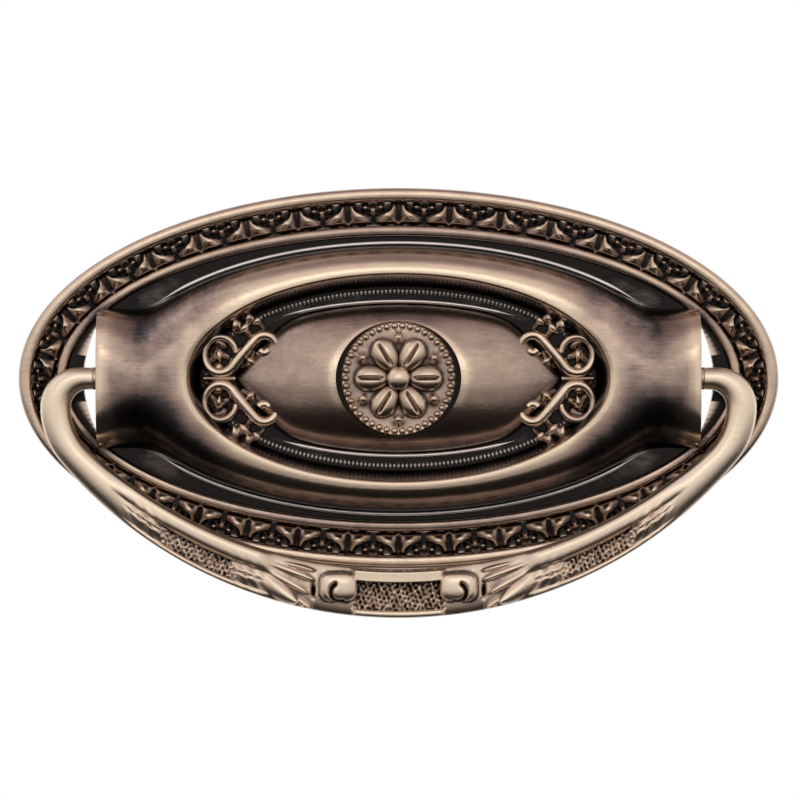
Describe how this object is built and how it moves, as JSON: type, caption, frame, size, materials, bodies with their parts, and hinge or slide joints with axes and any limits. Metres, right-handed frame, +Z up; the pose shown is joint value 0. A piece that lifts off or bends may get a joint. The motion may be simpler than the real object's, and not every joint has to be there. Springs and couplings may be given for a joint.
{
  "type": "ring pull",
  "caption": "Oval cast drawer pull with a leaf-and-dart border, a domed centre with a flower rosette, and a swinging ornamented bail held between two socket barrels.",
  "frame": {"origin": "centre of the screw hole's mouth, on the back plane of the plate", "axes": "+X along the plate to the viewer's right, +Z up, +Y into the drawer front; the plate faces -Y"},
  "size_m": [0.0826, 0.009, 0.0466],
  "materials": {
    "plate_brass": "antique brass, dark in the recesses, rubbed bright on the crests",
    "bail_brass": "antique brass, rubbed bright along the upper edge",
    "rosette_brass": "antique brass, dark between the petals"
  },
  "bodies": {
    "plate": {"backplate": "plate_brass", "rosette": "rosette_brass"},
    "bail": {"bail": "bail_brass"}
  },
  "joints": [
    {"name": "bail_swing", "type": "hinge", "parent": "plate", "child": "bail", "pos_m": [0, -0.0043, 0], "axis": [-1, 0, 0], "range_deg": [-1, 181]}
  ]
}
